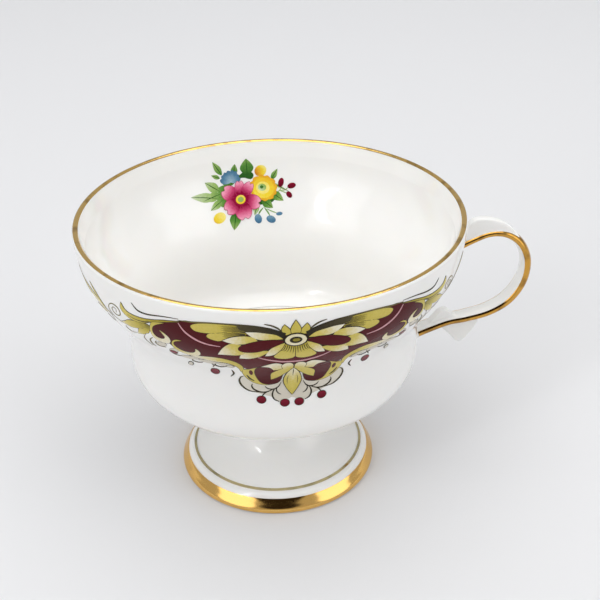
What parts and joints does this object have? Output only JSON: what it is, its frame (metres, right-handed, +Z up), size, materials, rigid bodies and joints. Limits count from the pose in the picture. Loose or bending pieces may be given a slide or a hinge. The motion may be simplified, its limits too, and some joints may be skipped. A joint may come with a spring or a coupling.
{
  "type": "footed teacup",
  "caption": "Footed china teacup: flared bell bowl on a spreading pedestal foot, loop handle with thumb rest, gilt lines, winged ornament outside and a flower spray inside.",
  "frame": {"origin": "centre of the whole cup's box, on the surface it stands on; the cup's own axis is 9.88 mm behind it, along -X", "axes": "+Z up along the cup's axis, +X from the bowl towards the handle, so the front ornament faces -Y"},
  "size_m": [0.1118, 0.0928, 0.072],
  "materials": {
    "bone_china": "glossy glaze, slightly warm white",
    "fired_slip": "fired slip under glaze",
    "burnished_gold": "bright fired gilding, brushed by hand, worn thin in places",
    "ornament_enamel": "fired-on printed transfer in burgundy, olive yellow, cream and sepia",
    "flower_enamel": "fired-on printed transfer in rose, yellow, blue and green"
  },
  "bodies": {
    "root": {"bowl": "bone_china", "pedestal_foot": "bone_china", "handle": "bone_china", "foot_slip_joint": "fired_slip", "handle_upper_slip_joint": "fired_slip", "handle_lower_slip_joint": "fired_slip", "rim_gilding": "burnished_gold", "foot_line_gilding": "burnished_gold", "foot_band_gilding": "burnished_gold", "handle_gilding": "burnished_gold", "front_cartouche_transfer": "ornament_enamel", "back_cartouche_transfer": "ornament_enamel", "front_left_spray_transfer": "ornament_enamel", "front_right_spray_transfer": "ornament_enamel", "back_left_spray_transfer": "ornament_enamel", "back_right_spray_transfer": "ornament_enamel", "posy_transfer": "flower_enamel"}
  },
  "joints": []
}
